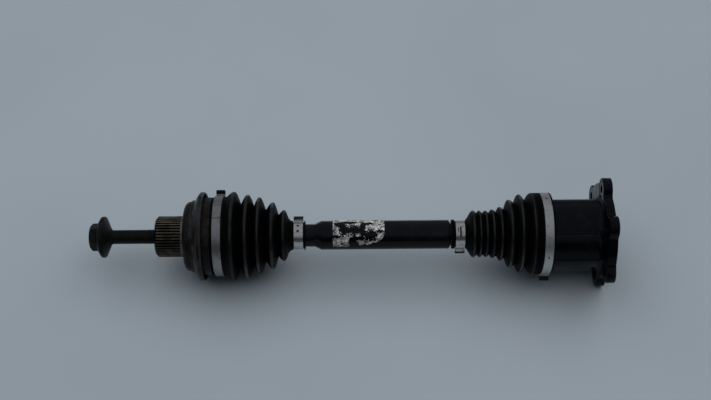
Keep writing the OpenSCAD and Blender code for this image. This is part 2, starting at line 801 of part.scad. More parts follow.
module tulip_housing() color("#202226") {
    mouth = hub_x - housing_mouth;
    seat_end = mouth + housing_seat_len;
    spot_h = lobe_fillet + cut;
    difference() {
        union() {
            turned([
                [mouth, 0], [mouth, housing_seat_r - edge], [mouth + edge, housing_seat_r],
                [seat_end - edge, housing_seat_r], [seat_end, housing_seat_r - edge], [seat_end, 0]
            ]);
            lobes();
            flange();
        }
        housing_hollow();
        for (v = VALLEYS, s = [-1, 1])
            at_angle(v + s * pair_angle / 2) translate([-flange_t, 0, hole_circle_d / 2]) rotate([0, 90, 0]) {
                translate([0, 0, -cut]) cylinder(h = flange_t + 2 * cut, r = hole_d / 2);
                translate([0, 0, -spot_h]) cylinder(h = spot_h, r = spot_d / 2);
            }
    }
}

// Pressed sheet cap: a rim turned up in its seat, a flat and a dished middle
module grease_cap() color("#6f7275") {
    rim_r = cap_r - cap_t / 2;
    flat_x = -cap_seat + seat_gap + cap_t / 2;
    slope_w = 2;
    turned(sheet([
        [-cap_inset, rim_r], [flat_x, rim_r], [flat_x, cap_dish_r + slope_w],
        [flat_x + cap_dish, cap_dish_r], [flat_x + cap_dish, 0]
    ], cap_t));
}

axle_bolt();
outer_bell();
dust_ring();
inner_race();
ball_cage();
for (i = [1:ball_count])
    ball(i);
race_circlip();
outer_boot();
outer_large_clamp();
outer_small_clamp();
axle_bar();
inner_small_clamp();
inner_boot();
inner_large_clamp();
tripod_spider();
spider_circlip();
for (i = [1:3]) {
    roller(i);
    needles(i);
    roller_clip(i);
}
tulip_housing();
grease_cap();
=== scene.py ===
import json
from math import acos, atan2, cos, degrees, hypot, pi, radians, sin, sqrt

import bmesh
import bpy
from mathutils import Matrix, Quaternion, Vector, noise


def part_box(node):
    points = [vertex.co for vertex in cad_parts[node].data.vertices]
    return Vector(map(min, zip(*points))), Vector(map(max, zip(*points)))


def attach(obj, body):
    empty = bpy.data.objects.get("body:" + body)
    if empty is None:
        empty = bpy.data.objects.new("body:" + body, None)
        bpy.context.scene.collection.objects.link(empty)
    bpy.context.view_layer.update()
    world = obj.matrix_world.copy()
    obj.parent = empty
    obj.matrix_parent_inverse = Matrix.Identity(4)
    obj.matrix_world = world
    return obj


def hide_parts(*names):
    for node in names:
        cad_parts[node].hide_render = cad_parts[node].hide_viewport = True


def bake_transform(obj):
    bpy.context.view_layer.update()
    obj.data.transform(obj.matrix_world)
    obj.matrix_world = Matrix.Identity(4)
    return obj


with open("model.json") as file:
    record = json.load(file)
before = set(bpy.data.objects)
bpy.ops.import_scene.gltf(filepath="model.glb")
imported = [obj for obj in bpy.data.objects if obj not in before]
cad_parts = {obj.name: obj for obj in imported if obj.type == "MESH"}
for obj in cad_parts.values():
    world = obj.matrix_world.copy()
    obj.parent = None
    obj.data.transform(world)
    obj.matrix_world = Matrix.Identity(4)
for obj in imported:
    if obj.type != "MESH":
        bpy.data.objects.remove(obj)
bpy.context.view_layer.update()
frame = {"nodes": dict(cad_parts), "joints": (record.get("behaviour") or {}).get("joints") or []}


# Axle bar: one turned bar of hardened steel that joins the two joints.
# Its thick middle is sprayed gloss black, with dust, scuffs and fine scratches from the car's underside.

# Sizes of pieces are in millimetres and angles in degrees, and mm takes a size to Blender's metres.
mm = 0.001
bar_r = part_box("axle_bar")[1].z / mm


class Signal:
    """One output of a node, so that shader maths reads as plain expressions."""

    def __init__(self, tree, socket=None):
        self.tree = tree
        self.socket = socket

    def node(self, kind, settings, sockets, output=0):
        """Adds a node, sets it up, gives its sockets values or links, and returns one of its outputs."""
        made = self.tree.nodes.new(kind)
        for name, value in settings.items():
            setattr(made, name, value)
        for name, value in sockets.items():
            if isinstance(value, Signal):
                self.tree.links.new(value.socket, made.inputs[name])
            else:
                made.inputs[name].default_value = value
        return Signal(self.tree, made.outputs[output])

    def math(self, operation, first, second):
        """One operation on two values or signals."""
        return self.node("ShaderNodeMath", {"operation": operation}, {0: first, 1: second})

    def __add__(self, other):
        return self.math("ADD", self, other)

    def __sub__(self, other):
        return self.math("SUBTRACT", self, other)

    def __rsub__(self, other):
        return self.math("SUBTRACT", other, self)

    def __mul__(self, other):
        return self.math("MULTIPLY", self, other)

    def __truediv__(self, other):
        return self.math("DIVIDE", self, other)

    __radd__ = __add__
    __rmul__ = __mul__

    def axis(self, index):
        """X, Y or Z of a place."""
        return self.node("ShaderNodeSeparateXYZ", {}, {0: self}, index)

    def between(self, low, high):
        """0 at low and 1 at high, smooth in between and flat outside."""
        return self.node("ShaderNodeMapRange", {"interpolation_type": "SMOOTHSTEP"},
                         {"Value": self, "From Min": low, "From Max": high})

    def band(self, start, end, soft):
        """1 from start to end, and 0 outside."""
        return self.between(start - soft, start + soft) * (1 - self.between(end - soft, end + soft))

    def tint(self, low, high):
        """A colour that turns from low to high as this signal goes from 0 to 1."""
        # The colour sockets of this node go by number, because their names repeat.
        return self.node("ShaderNodeMix", {"data_type": "RGBA"}, {0: self, 6: low, 7: high}, 2)

    def feeds(self, shader, socket):
        """Links this signal to a socket of a shader."""
        self.tree.links.new(self.socket, shader.inputs[socket])

    def raises(self, shader, strength, height):
        """Uses this signal as the relief of the surface."""
        sockets = {"Height": self, "Strength": strength, "Distance": height}
        self.node("ShaderNodeBump", {}, sockets).feeds(shader, "Normal")


def new_finish(name, constants):
    """A material, its shader with what is the same all over, and its piece's own coordinates."""
    material = bpy.data.materials.new(name)
    material.use_nodes = True
    shader = material.node_tree.nodes["Principled BSDF"]
    for socket, value in constants.items():
        shader.inputs[socket].default_value = value
    place = Signal(material.node_tree).node("ShaderNodeTexCoord", {}, {}, "Object")
    return material, shader, place


def grain(place, scale, detail=4.0, stretch=(1, 1, 1)):
    """Noise with about so many features to the metre along each axis whose stretch is 1."""
    spread = place.node("ShaderNodeMapping", {}, {"Vector": place, "Scale": stretch})
    return place.node("ShaderNodeTexNoise", {}, {"Vector": spread, "Scale": scale, "Detail": detail})


def off_axis(place):
    """Distance from the axle's centre line."""
    across = place.node("ShaderNodeVectorMath", {"operation": "MULTIPLY"}, {0: place, 1: (0, 1, 1)})
    return place.node("ShaderNodeVectorMath", {"operation": "LENGTH"}, {0: across}, "Value")


def gloss_black(name, gloss, dust_share):
    """Gloss black paint with settled dust, dull scuffs, fine scratches and a little orange peel."""
    black, dust_grey = (0.0009, 0.0013, 0.0024, 1), (0.026, 0.028, 0.031, 1)
    paint, shader, place = new_finish(name, {"Specular IOR Level": gloss})
    clouds = grain(place, 60, 8).between(0.5, 0.78)
    dust = clouds * grain(place, 900, 2).between(0.35, 0.75) * dust_share
    lines = grain(place, 500, 3, (0.15, 4, 4)).between(0.66, 0.72)
    scratch = lines * grain(place, 40).between(0.5, 0.7)
    scuff = grain(place, 110, 6).between(0.45, 0.75)
    orange_peel = grain(place, 1300, 2)
    dust.tint(black, dust_grey).feeds(shader, "Base Color")
    (0.14 + 0.16 * scuff + 0.3 * scratch + 0.25 * dust).feeds(shader, "Roughness")
    (orange_peel + 0.8 * scratch).raises(shader, 0.05, 0.2 * mm)
    return paint


def dress(material, *names):
    """Gives the solids of these names their finish."""
    for name in names:
        for slot in frame["nodes"][name].material_slots:
            slot.material = material


dress(gloss_black("bar_paint", gloss=0.19, dust_share=0.3), "axle_bar")


# Paper label: what is left of a paper sticker on the bar, with its face rubbed and torn away.
# Thin white paper glued round the near side, with ragged holes down to the paint and edges that lift.

label_start, label_end = -273.6, -222.6
label_low, label_high = -92, 66
label_cell = 0.32
label_columns = round((label_end - label_start) / label_cell)
label_rows = round(radians(label_high - label_low) * bar_r / label_cell)
paper_t = 0.12
edge_lift, lift_fall = 0.3, 6
tear_pull, tear_reach = 1.3, 1.22
edge_waver = 5
# Tears as (share of the length, angle, half length as a share, half height in degrees)
tears = [(0.40, -17, 0.14, 19), (0.73, -39, 0.14, 23), (0.10, 8, 0.10, 11), (0.20, -13, 0.09, 26),
         (0.40, -66, 0.10, 30), (0.06, -42, 0.09, 7), (0.58, -8, 0.06, 36), (0.31, 20, 0.18, 9),
         (0.92, -22, 0.07, 7), (0.53, -50, 0.08, 9), (0.70, 12, 0.08, 8)]
# Lower edge of what is left as (share of the length, angle)
torn_edge = [(0, -84), (0.30, -88), (0.36, -66), (0.45, -66), (0.48, -79), (0.72, -73), (0.84, -65),
             (0.95, -52), (1, -30)]


def around(x, r, turn):
    """A place x along the axle and r from it, turned from the top towards the back, from mm to metres."""
    return Vector((x, r * sin(radians(turn)), r * cos(radians(turn)))) * mm


def read_off(points, at):
    """Value at a place between points of (place, value)."""
    for (start, low), (end, high) in zip(points, points[1:]):
        if at <= end:
            return low + (high - low) * (at - start) / (end - start)
    return points[-1][1]


def label_place(column, row):
    """Place on the bar of a point of the label's grid, as how far along and the angle."""
    return label_start + column * label_cell, label_low + row * (label_high - label_low) / label_rows


def paper_left(x, turn):
    """How much paper is left at a place on the bar: none below 0."""
    along = (x - label_start) / (label_end - label_start)
    spot = Vector((x, radians(turn) * bar_r, 0))
    ragged, flaked = noise.fractal(spot * 0.3, 0.8, 2.2, 5), noise.noise(spot * 0.9)
    left = 0.27 + 0.42 * ragged + 0.68 * flaked
    for middle, angle, half, height in tears:
        left -= tear_pull * max(0.0, tear_reach - hypot((along - middle) / half, (turn - angle) / height))
    torn_at = read_off(torn_edge, along) + edge_waver * noise.noise(spot * 0.5)
    return left if turn > torn_at else -1


def new_piece(name, mesh, material, smooth_angle=32):
    """A piece at the origin from a finished mesh, smooth up to an angle."""
    data = bpy.data.meshes.new(name)
    mesh.to_mesh(data)
    mesh.free()
    data.materials.append(material)
    data.shade_smooth()
    data.set_sharp_from_angle(angle=radians(smooth_angle))
    piece = bpy.data.objects.new(name, data)
    bpy.context.scene.collection.objects.link(piece)
    return piece


def worn_paper():
    """Dull white paper with dark specks and dirty grey patches."""
    dirty_grey, paper_white = (0.03, 0.031, 0.03, 1), (0.43, 0.44, 0.42, 1)
    paper, shader, place = new_finish("worn_paper", {"Specular IOR Level": 0.3})
    clean = grain(place, 230, 6).between(0.40, 0.60)
    in_patches = grain(place, 120).between(0.42, 0.55)
    specks = grain(place, 620, 3, (1, 0.5, 0.5)).between(0.53, 0.59) * in_patches
    white = (1 - 0.85 * specks) * (0.3 + 0.7 * clean)
    white.tint(dirty_grey, paper_white).feeds(shader, "Base Color")
    (0.55 + 0.3 * clean).feeds(shader, "Roughness")
    grain(place, 1500, 3).raises(shader, 0.25, 0.1 * mm)
    return paper


label_mesh = bmesh.new()
label_corners = {}
for column in range(label_columns):
    for row in range(label_rows):
        if paper_left(*label_place(column + 0.5, row + 0.5)) <= 0:
            continue
        cell = [(column, row), (column, row + 1), (column + 1, row + 1), (column + 1, row)]
        for corner in cell:
            if corner not in label_corners:
                x, turn = label_place(*corner)
                lift = edge_lift * max(0.0, 1 - lift_fall * max(0.0, paper_left(x, turn))) ** 2
                label_corners[corner] = label_mesh.verts.new(around(x, bar_r + 2 * paper_t + lift, turn))
        label_mesh.faces.new([label_corners[corner] for corner in cell])
bmesh.ops.recalc_face_normals(label_mesh, faces=label_mesh.faces)
bmesh.ops.solidify(label_mesh, geom=label_mesh.faces[:], thickness=paper_t * mm)
bmesh.ops.recalc_face_normals(label_mesh, faces=label_mesh.faces)
label = new_piece("label", label_mesh, worn_paper())
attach(label, "shaft")


# Ball joint's inside: race, cage and six balls of hardened and ground steel, all under grease.
# A spring wire ring keeps the race on the bar.


def greased_steel(name, tone):
    """Ground steel of a grey tone with turning marks, under patches of brown grease."""
    steel, shader, place = new_finish(name, {"Metallic": 1.0, "Coat Weight": 0.6, "Coat Roughness": 0.08})
    grease = grain(place, 120, 5).between(0.45, 0.65)
    turned_marks = grain(place, 900, 2, (6, 0.6, 0.6))
    clean, greasy = (tone, tone, tone * 1.02, 1), (0.25 * tone, 0.22 * tone, 0.15 * tone, 1)
    grease.tint(clean, greasy).feeds(shader, "Base Color")
    (0.18 + 0.2 * grease + 0.08 * turned_marks).feeds(shader, "Roughness")
    turned_marks.raises(shader, 0.08, 0.05 * mm)
    return steel


ground_steel = greased_steel("ground_steel", 0.55)
spring_wire = greased_steel("spring_wire", 0.25)
dress(ground_steel, "inner_race", "ball_cage", *(f"ball_{number}" for number in range(1, 7)))
dress(spring_wire, "race_circlip")


# Bell: the outer half of the ball joint with its splined stub, one steel forging, machined and hardened.
# The teeth are browned in their roots and rubbed bright on top, and the bell has a film of rust and oil.

stub_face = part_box("outer_bell")[0].x / mm
spline_len, stub_collar_len = 25.5, 3.5
spline_end = stub_face + spline_len
stub_collar_end = spline_end + stub_collar_len
tooth_worn_from, tooth_worn_to = 19.75, 20.3


def browned_forging():
    """Dark steel, stained and rusted, with bright tops on its teeth and a worn ring behind them."""
    light_steel, dark_steel = (0.021, 0.0195, 0.019, 1), (0.014, 0.013, 0.0125, 1)
    rust_brown, bare_steel = (0.014, 0.0085, 0.0075, 1), (0.30, 0.29, 0.27, 1)
    root_brown, tooth_steel = (0.006, 0.0045, 0.003, 1), (0.18, 0.155, 0.125, 1)
    forging, shader, place = new_finish("browned_forging", {"Specular IOR Level": 0.5})
    radius = off_axis(place)
    along = place.axis(0)
    turned_marks = grain(place, 700, 3, (5, 0.25, 0.25))
    stain = grain(place, 55, 7).between(0.42, 0.68)
    rust = grain(place, 140, 8).between(0.5, 0.72) * place.axis(2).between(0, 30 * mm)
    on_teeth = 1 - along.between(spline_end * mm, (spline_end + 0.6) * mm)
    tooth_wear = 0.3 + 0.7 * grain(place, 70, 4).between(0.35, 0.65)
    tooth_top = radius.between(tooth_worn_from * mm, tooth_worn_to * mm) * tooth_wear
    worn_ring = along.band((spline_end - 0.3) * mm, (stub_collar_end - 1.2) * mm, 0.5 * mm)
    rubbed = 0.75 * worn_ring * grain(place, 300, 4).between(0.3, 0.6)
    rusted = (0.6 * rust).tint(stain.tint(light_steel, dark_steel), rust_brown)
    body = rubbed.tint(rusted, bare_steel)
    teeth = tooth_top.tint(root_brown, tooth_steel)
    on_teeth.tint(body, teeth).feeds(shader, "Base Color")
    (0.9 - 0.4 * rust).feeds(shader, "Metallic")
    (0.36 + 0.16 * stain + 0.2 * rust + 0.08 * turned_marks).feeds(shader, "Roughness")
    (turned_marks + 0.6 * rust).raises(shader, 0.12, 0.15 * mm)
    return forging


dress(browned_forging(), "outer_bell")


# Dust ring: pressed sheet steel, pushed on to the bell up to its step to keep dirt off the wheel bearing.
# It is dark with oil and rubbed pale along the flare, and its rim is painted dark red, partly as rust and
# partly as painted shade.

ring_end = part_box("dust_ring")[1].x / mm
flare_worn_from, flare_worn_to = 36.6, 38.0
rust_and_shade_start, rust_and_shade_full = ring_end - 1.8, ring_end - 0.6


def oily_sheet():
    """Dark mottled sheet steel, with a pale band on the flare, and rust and painted shade at the rim."""
    light_oil, dark_oil = (0.050, 0.050, 0.050, 1), (0.022, 0.021, 0.020, 1)
    pale_steel, rust_and_shade_red = (0.36, 0.36, 0.35, 1), (0.022, 0.010, 0.009, 1)
    sheet, shader, place = new_finish("oily_sheet", {"Specular IOR Level": 0.5})
    mottle = grain(place, 260, 6).between(0.40, 0.62)
    rubbed = off_axis(place).band(flare_worn_from * mm, flare_worn_to * mm, 0.6 * mm) * mottle
    # Painted shade: the dark red at the rim is partly rust and partly shade painted along its edge.
    rust_and_shade_at_rim = place.axis(0).between(rust_and_shade_start * mm, rust_and_shade_full * mm)
    rust = rust_and_shade_at_rim * grain(place, 120, 5).between(0.3, 0.6)
    dark = grain(place, 70, 6).between(0.35, 0.7).tint(light_oil, dark_oil)
    worn = (0.8 * rubbed).tint(dark, pale_steel)
    (0.8 * rust).tint(worn, rust_and_shade_red).feeds(shader, "Base Color")
    (0.9 - 0.7 * rust).feeds(shader, "Metallic")
    (0.34 + 0.2 * mottle).feeds(shader, "Roughness")
    (mottle + 0.5 * grain(place, 500, 3)).raises(shader, 0.12, 0.15 * mm)
    return sheet


dress(oily_sheet(), "dust_ring")


# Hub bolt: a forged hexagon flange bolt with a rolled thread, black phosphated.
# It is screwed halfway into the stub, and the thread that still shows is a ridge wound round the shank.

shank_r = 7
thread_len, thread_sunk = 9, 0.8
thread_pitch = 1.5
ridge_r, ridge_sunk = 0.6, 0.25
head_worn_from, head_worn_to = shank_r + 0.2, 20


def black_phosphate():
    """Satin black phosphate, cloudy and rubbed grey on the head."""
    deep_black, cloudy_black = (0.0014, 0.0017, 0.0015, 1), (0.0034, 0.0037, 0.0031, 1)
    rubbed_grey = (0.022, 0.022, 0.019, 1)
    phosphate, shader, place = new_finish("black_phosphate", {"Specular IOR Level": 0.14})
    cloud = grain(place, 90, 6).between(0.35, 0.7)
    on_head = off_axis(place).between(head_worn_from * mm, head_worn_to * mm)
    rubbed = grain(place, 240, 5).between(0.6, 0.75) * on_head
    rubbed.tint(cloud.tint(deep_black, cloudy_black), rubbed_grey).feeds(shader, "Base Color")
    (0.35 * rubbed).feeds(shader, "Metallic")
    (0.36 + 0.14 * cloud).feeds(shader, "Roughness")
    (grain(place, 1800, 2) + cloud).raises(shader, 0.1, 0.1 * mm)
    return phosphate


def new_tree(name, inputs):
    """A geometry tree with these named inputs and their kinds, and the signal of each input."""
    tree = bpy.data.node_groups.new(name, "GeometryNodeTree")
    tree.interface.new_socket("Geometry", in_out="OUTPUT", socket_type="NodeSocketGeometry")
    tree.interface.new_socket("Host", in_out="INPUT", socket_type="NodeSocketGeometry")
    for input_name, kind in inputs.items():
        tree.interface.new_socket(input_name, in_out="INPUT", socket_type="NodeSocket" + kind)
    entry = tree.nodes.new("NodeGroupInput")
    return tree, {socket.name: Signal(tree, socket) for socket in entry.outputs if socket.name}


def end_tree(shape, finish):
    """Ends a tree with real geometry in its finish."""
    real = shape.node("GeometryNodeRealizeInstances", {}, {"Geometry": shape})
    dressed = real.node("GeometryNodeSetMaterial", {}, {"Geometry": real, "Material": finish})
    shape.tree.links.new(dressed.socket, shape.tree.nodes.new("NodeGroupOutput").inputs[0])


def grow(name, tree, host, values, smooth_angle=32):
    """A plain piece, grown by a tree from a host mesh and these values."""
    piece = bpy.data.objects.new(name, host)
    bpy.context.scene.collection.objects.link(piece)
    growth = piece.modifiers.new("growth", "NODES")
    growth.node_group = tree
    for socket in tree.interface.items_tree:
        if socket.in_out == "INPUT" and socket.name in values:
            growth[socket.identifier] = values[socket.name]
    grown = piece.evaluated_get(bpy.context.evaluated_depsgraph_get())
    mesh = bpy.data.meshes.new_from_object(grown)
    piece.modifiers.remove(growth)
    piece.data = mesh
    bpy.data.meshes.remove(host)
    mesh.shade_smooth()
    mesh.set_sharp_from_angle(angle=radians(smooth_angle))
    return piece


def thread_tree():
    """A ridge of three-sided section, wound round the axle's line from a start."""
    tree, given = new_tree("thread", {
        "Start": "Vector", "Length": "Float", "Pitch": "Float", "Radius": "Float", "Ridge": "Float",
        "Finish": "Material"})
    start = given["Start"]
    wound = start.node("GeometryNodeCurveSpiral", {}, {
        "Resolution": 40, "Rotations": given["Length"] / given["Pitch"], "Start Radius": given["Radius"],
        "End Radius": given["Radius"], "Height": given["Length"]})
    upright = start.node("GeometryNodeSetCurveNormal", {"mode": "Z_UP"}, {"Curve": wound})
    section = start.node("GeometryNodeCurvePrimitiveCircle", {},
                         {"Resolution": 3, "Radius": given["Ridge"]})
    edge_out = start.node("GeometryNodeTransform", {}, {"Geometry": section, "Rotation": (0, 0, pi)})
    ridge = start.node("GeometryNodeCurveToMesh", {},
                       {"Curve": upright, "Profile Curve": edge_out, "Fill Caps": True})
    laid = start.node("GeometryNodeTransform", {},
                      {"Geometry": ridge, "Rotation": (0, pi / 2, 0), "Translation": start})
    end_tree(laid, given["Finish"])
    return tree


bolt_finish = black_phosphate()
dress(bolt_finish, "axle_bolt")
thread = grow("thread", thread_tree(), bpy.data.meshes.new("thread_host"), {
    "Start": Vector((stub_face - thread_len, 0, 0)) * mm, "Length": (thread_len + thread_sunk) * mm,
    "Pitch": thread_pitch * mm, "Radius": (shank_r - ridge_sunk) * mm, "Ridge": ridge_r * mm,
    "Finish": bolt_finish})
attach(thread, "bell")


# Outer boot: a bellows of moulded black rubber that keeps the grease in the ball joint.
# Made as closed rings, cut one after another along its length.
# Its upper crests are dusty and carry a painted highlight, and some shine with grease.

joint_x = {joint["name"]: joint.get("pos_m", (0, 0, 0))[0] / mm for joint in frame["joints"]}
ball_x = joint_x["ball_swing_vertical"]
boot_wall = 2
boot_bore = 11.35
boot_sides = 180
fold_steps = 12
small_collar_r = 14.8
small_band_r, small_band_w = 13.05, 10.5
band_fit, groove_gap = 0.05, 0.4
bell_collar_r = 39.25
bell_bore = 37.25
weld = 0.001
# Turns of the folds as (distance from the joint's centre, radius)
outer_turns = [(12.4, bell_collar_r), (20, 44.3), (26.5, 31.5), (33.4, 41.5), (39.6, 30), (45, 38.7),
               (51.4, 26), (58.6, 33.7), (64, 21), (69.6, 25.6), (74.3, 17)]
outer_small_band = 78.8
outer_bodies = ["bell", "lower_ball", "ball_cage", "upper_ball", "shaft"]
outer_bend_start, outer_bend_end = 11, 66


def bellows(turns):
    """Folds through their turns with broad crests and tight valleys, as (distance, radius, bore, crest)."""
    line = []
    for (start, r0), (end, r1) in zip(turns, turns[1:]):
        for step in range(fold_steps):
            share = step / fold_steps
            rise = (1 - cos(pi * (share if r1 > r0 else 1 - share))) / 2
            crest = rise ** 0.6
            r = min(r0, r1) + abs(r1 - r0) * crest
            line.append((start + (end - start) * share, r, r - boot_wall, crest))
    end, r = turns[-1]
    return line + [(end, r, r - boot_wall, 0)]


def small_collar(band, run, lip):
    """Collar on the bar with a groove for its clamp, from so far before the band to its lip."""
    floor_r = small_band_r - band_fit
    groove_start, groove_end = band - groove_gap, band + small_band_w + groove_gap
    lip_end = band + small_band_w + lip
    edges = [(band - run, small_collar_r), (groove_start - 0.5, small_collar_r),
             (groove_start, small_collar_r - 0.5), (groove_start, floor_r),
             (groove_end, floor_r), (groove_end, small_collar_r - 0.3),
             (lip_end - 0.4, small_collar_r - 0.1), (lip_end, small_collar_r - 0.6)]
    return [(distance, r, boot_bore, 0) for distance, r in edges]


def ring_piece(name, outline_at, sides, material):
    """A closed ring about the axle, from its outline of (x, radius, crest) in mm at each angle."""
    mesh = bmesh.new()
    crest_mark = mesh.verts.layers.float.new("crest")
    loops = []
    for side in range(sides):
        turn = 360 * side / sides
        loop = []
        for x, r, crest in outline_at(turn):
            loop.append(mesh.verts.new(around(x, r, turn)))
            loop[-1][crest_mark] = crest
        loops.append(loop)
    for loop, following in zip(loops, loops[1:] + loops[:1]):
        for index in range(len(loop)):
            mesh.faces.new((loop[index - 1], loop[index], following[index], following[index - 1]))
    bmesh.ops.remove_doubles(mesh, verts=mesh.verts, dist=weld * mm)
    bmesh.ops.recalc_face_normals(mesh, faces=mesh.faces)
    return new_piece(name, mesh, material)


def boot_ring(name, x, side, line, start, end, rubber):
    """The stretch of a boot between two distances from its joint's centre, on one side of it."""
    stretch = [point for point in line if start <= point[0] <= end]
    outline = [(x + side * distance, r, crest) for distance, r, bore, crest in stretch]
    outline += [(x + side * distance, bore, 0) for distance, r, bore, crest in reversed(stretch)]
    return ring_piece(name, lambda turn: outline, boot_sides, rubber)


def boot_rings(boot, x, side, line, bodies, bends, rubber):
    """A boot in closed rings, cut where one bend ends and the next begins, from each body to the next."""
    start = 0
    for before, after, bend_start, bend_end in zip(bodies, bodies[1:], bends, bends[1:]):
        end = line[-1][0] if after == bodies[-1] else bend_end
        ring = boot_ring(f"{boot}_{before}", x, side, line, start, end, rubber)
        bend_from, bend_to = around(x + side * bend_start, 0, 0), around(x + side * bend_end, 0, 0)
        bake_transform(ring)
        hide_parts(boot)
        start = end


def boot_rubber(name, greasy_start, greasy_end):
    """Black rubber with dust and a painted highlight on its upper crests, and grease on the crests between
    two places.
    """
    # dust_grey here is the pale tone of the upper crests: dust and a painted highlight together.
    black, dust_grey = (0.0007, 0.0008, 0.0008, 1), (0.0085, 0.0090, 0.0088, 1)
    rubber, shader, place = new_finish(name, {"Specular IOR Level": 0.07, "Coat Roughness": 0.3})
    crest = place.node("ShaderNodeAttribute", {"attribute_name": "crest"}, {}, "Fac")
    patches = grain(place, 45, 6).between(0.38, 0.66)
    # Painted highlight: the crests are painted paler on the upper side only, partly as dust and partly as a
    # highlight.
    dust_and_sheen_on_top = place.axis(2).between(-20 * mm, 20 * mm)
    dust = crest.between(0.86, 1.0) * (0.35 + 0.65 * patches) * dust_and_sheen_on_top
    in_reach = place.axis(0).band(greasy_start * mm, greasy_end * mm, 2 * mm)
    grease = in_reach * crest.between(0.90, 0.98) * grain(place, 90, 4).between(0.42, 0.56)
    (dust * (1 - grease)).tint(black, dust_grey).feeds(shader, "Base Color")
    (0.5 - 0.32 * grease + 0.15 * dust + 0.08 * patches).feeds(shader, "Roughness")
    (0.4 * crest.between(0.88, 1.0) + 0.6 * grease).feeds(shader, "Coat Weight")
    (grain(place, 1600, 3) + patches).raises(shader, 0.15, 0.12 * mm)
    return rubber


outer_folds = bellows(outer_turns)
outer_line = [(0, bell_collar_r - 0.5, bell_bore, 0), (0.5, bell_collar_r, bell_bore, 0)]
outer_line += outer_folds + small_collar(outer_small_band, run=2.4, lip=1.4)
# Cuts between the rings as (turn of the folds, steps past it)
outer_cuts = [outer_folds[turn * fold_steps + step][0] for turn, step in ((1, 8), (3, 5), (5, 4))]
outer_rubber = boot_rubber("outer_rubber", greasy_start=ball_x + 28, greasy_end=ball_x + 62)
boot_rings("outer_boot", ball_x, 1, outer_line, outer_bodies,
           [outer_bend_start, *outer_cuts, outer_bend_end], outer_rubber)


# Outer boot's clamps: stainless strip lapped round the collar and drawn tight by pinching its ear.
# The large one has gone dull, the small one is still bright.

strap_t = 0.75
strap_margin = 0.6
lap_rise = 1.55
ear_half = 4.5
lap_steps = 40
round_steps, round_angle = 110, 340


def strap_tree():
    """A strip with eased edges, swept along the path of its host."""
    tree, given = new_tree("strap", {"Width": "Float", "Thickness": "Float", "Finish": "Material"})
    host = given["Host"]
    path = host.node("GeometryNodeMeshToCurve", {}, {"Mesh": host})
    upright = host.node("GeometryNodeSetCurveNormal", {"mode": "Z_UP"}, {"Curve": path})
    section = host.node("GeometryNodeCurvePrimitiveQuadrilateral", {},
                        {"Width": given["Thickness"], "Height": given["Width"]})
    eased = host.node("GeometryNodeFilletCurve", {"mode": "POLY"},
                      {"Curve": section, "Count": 3, "Radius": 0.3 * given["Thickness"]})
    strap = host.node("GeometryNodeCurveToMesh", {},
                      {"Curve": upright, "Profile Curve": eased, "Fill Caps": True})
    laid = host.node("GeometryNodeTransform", {}, {"Geometry": strap, "Rotation": (pi / 2, 0, pi / 2)})
    end_tree(laid, given["Finish"])
    return tree


strap_sweep = strap_tree()


def rounded(points, steps=5):
    """A smooth line through points."""
    ends = [points[0], *points, points[-1]]
    line = []
    for a, b, c, d in zip(ends, ends[1:], ends[2:], ends[3:]):
        for step in range(steps):
            t = step / steps
            line.append(tuple(
                q + t / 2 * (r - p + t * (2 * p - 5 * q + 4 * r - s + t * (3 * (q - r) + s - p)))
                for p, q, r, s in zip(a, b, c, d)))
    return line + [points[-1]]


def strap_path(r, ear_turn, lap, ear_h):
    """Middle line of a strip from the end of its lap over the ear and once round, as (angle, radius)."""
    way = 1 if lap > 0 else -1
    under, over = r + strap_t / 2, r + lap_rise * strap_t
    # One side of the ear as (distance from its middle, height), up to the dent on top
    side = [(ear_half, 0), (3.5, 0.2), (2.9, 1.2), (3.1, 2.6), (3.3, ear_h - 1.4), (2.5, ear_h - 0.2),
            (1.1, ear_h), (0, ear_h - 0.3)]
    ear = [(degrees(along / over), over + lift) for along, lift in
           rounded(side + [(-along, lift) for along, lift in reversed(side[:-1])])]
    ear_end = degrees(ear_half / over)
    lap_end = abs(lap)
    path = [(lap_end - (lap_end - ear_end) * step / lap_steps, over) for step in range(lap_steps)] + ear
    # Past the ear the strip steps down on to the collar
    path += [(-ear_end - 2, over), (-24, over), (-27, over - 0.2 * strap_t), (-30, (under + over) / 2),
             (-33, under + 0.2 * strap_t), (-36, under)]
    round_start = path[-1][0]
    path += [(round_start - round_angle * step / round_steps, under) for step in range(1, round_steps + 1)]
    return [(ear_turn + way * angle, radius) for angle, radius in path]


def clamp(node, body, finish, r, ear_turn, lap, ear_h):
    """A clamp of inner radius r in place of its solid, on the body that carries it."""
    low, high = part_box(node)
    middle = (low.x + high.x) / 2
    corners = [(radius * mm * sin(radians(angle)), radius * mm * cos(radians(angle)), middle)
               for angle, radius in strap_path(r, ear_turn, lap, ear_h)]
    host = bpy.data.meshes.new(node + "_path")
    host.from_pydata(corners, [(index, index + 1) for index in range(len(corners) - 1)], [])
    width = high.x - low.x - 2 * strap_margin * mm
    strap = grow(node + "_strap", strap_sweep, host,
                 {"Width": width, "Thickness": strap_t * mm, "Finish": finish}, smooth_angle=50)
    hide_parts(node)
    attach(strap, body)


